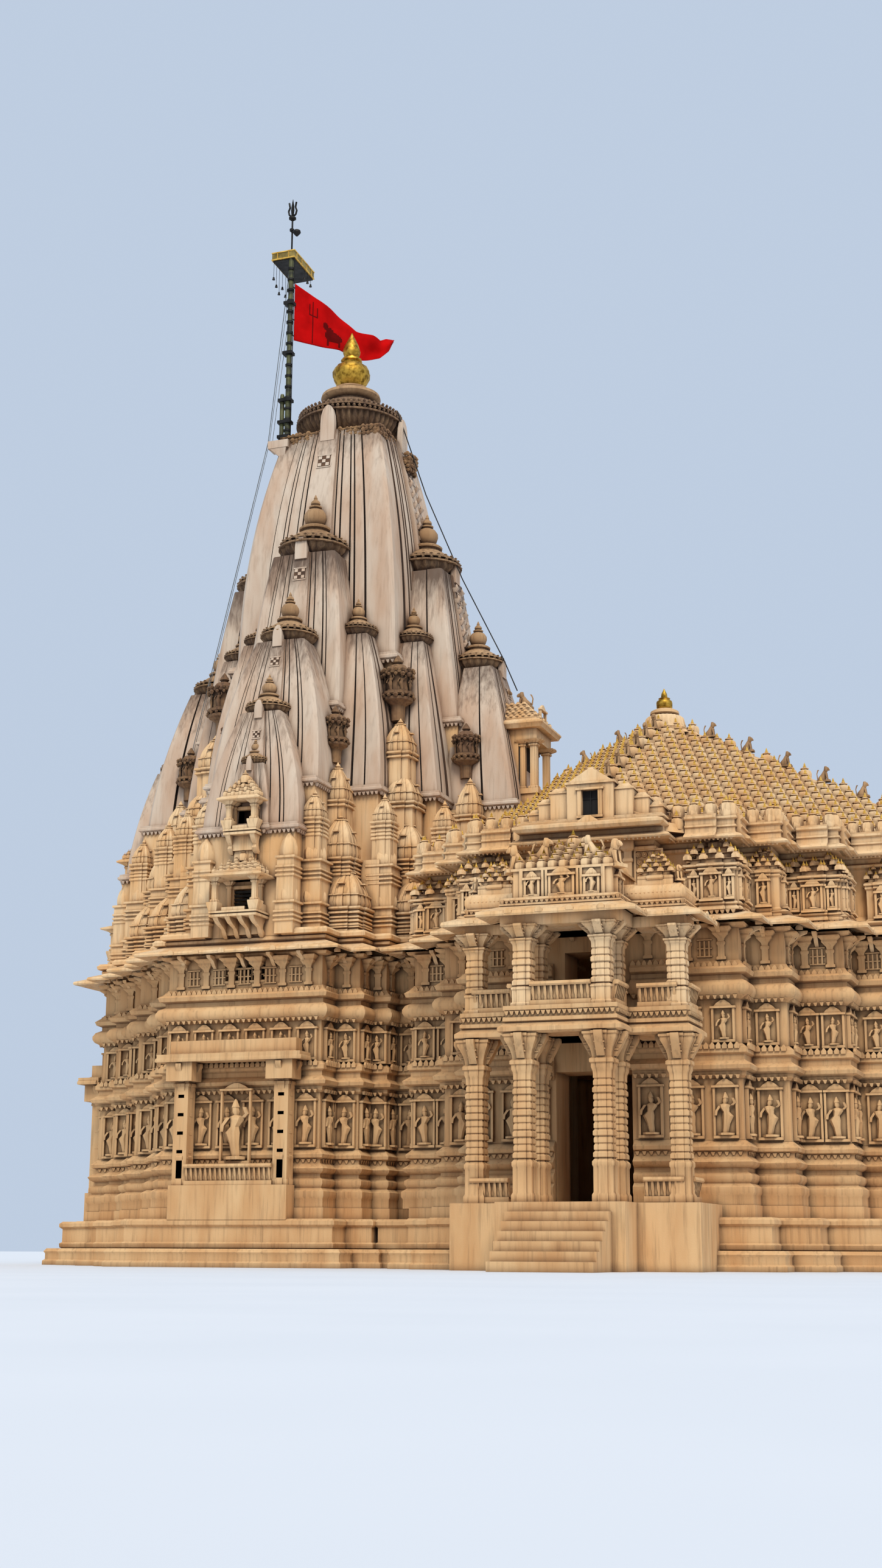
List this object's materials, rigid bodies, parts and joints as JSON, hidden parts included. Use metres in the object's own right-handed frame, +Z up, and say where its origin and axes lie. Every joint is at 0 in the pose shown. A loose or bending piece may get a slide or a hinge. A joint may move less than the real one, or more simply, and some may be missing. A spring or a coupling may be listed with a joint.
{
  "type": "hindu temple, 1:2 scale model",
  "caption": "Sandstone hindu temple with a tall curved tower, clustered half-spires, a domed-tier hall with porches, balconies, gilded finials and a red flag; 1:2 scale model.",
  "frame": {"origin": "on the ground, on the axis of the tower", "axes": "+Z up, +X from the tower towards the hall, +Y to the north side"},
  "size_m": [24.76, 20.92, 27.05],
  "materials": {
    "tan_sandstone": "matte",
    "light_sandstone": "matte",
    "spire_plaster": "matte",
    "gilded_brass": "satin",
    "dark_metal": "satin",
    "flag_cloth": "matte",
    "steel_wire": "satin"
  },
  "bodies": {
    "root": {"tower_plinth": "tan_sandstone", "tower_south_wall": "tan_sandstone", "tower_north_wall": "tan_sandstone", "tower_west_wall": "tan_sandstone", "tower_east_wall": "tan_sandstone", "tower_eave": "light_sandstone", "tower_second_storey": "light_sandstone", "tower_upper_walls": "light_sandstone", "south_half_spire_1": "spire_plaster", "south_half_spire_2": "spire_plaster", "south_half_spire_3": "spire_plaster", "east_half_spire_1": "spire_plaster", "east_half_spire_2": "spire_plaster", "north_half_spire_1": "spire_plaster", "north_half_spire_2": "spire_plaster", "north_half_spire_3": "spire_plaster", "west_half_spire_1": "spire_plaster", "west_half_spire_2": "spire_plaster", "west_half_spire_3": "spire_plaster", "southeast_corner_shrines": "light_sandstone", "northeast_corner_shrines": "light_sandstone", "northwest_corner_shrines": "light_sandstone", "southwest_corner_shrines": "light_sandstone", "main_spire": "spire_plaster", "main_ribbed_ring": "tan_sandstone", "main_finial": "gilded_brass", "south_balconies": "light_sandstone", "north_balconies": "light_sandstone", "west_balconies": "light_sandstone", "south_tower_porch": "tan_sandstone", "north_tower_porch": "tan_sandstone", "west_tower_porch": "tan_sandstone", "antefix": "light_sandstone", "hall_plinth": "tan_sandstone", "hall_southeast_wall": "tan_sandstone", "hall_northeast_wall": "tan_sandstone", "hall_northwest_wall": "tan_sandstone", "hall_southwest_wall": "tan_sandstone", "hall_gallery": "tan_sandstone", "hall_eave": "light_sandstone", "hall_upper_walls": "light_sandstone", "hall_roof": "light_sandstone", "hall_finial": "gilded_brass", "south_gable": "light_sandstone", "south_porch_base": "tan_sandstone", "south_porch_columns": "tan_sandstone", "south_porch_upper": "light_sandstone", "east_gable": "light_sandstone", "east_porch_base": "tan_sandstone", "east_porch_columns": "tan_sandstone", "east_porch_upper": "light_sandstone", "north_gable": "light_sandstone", "north_porch_base": "tan_sandstone", "north_porch_columns": "tan_sandstone", "north_porch_upper": "light_sandstone", "flagstaff": "dark_metal", "flagstaff_head": "dark_metal", "flag": "flag_cloth", "guy_wire": "steel_wire", "east_wire": "steel_wire"}
  },
  "joints": []
}
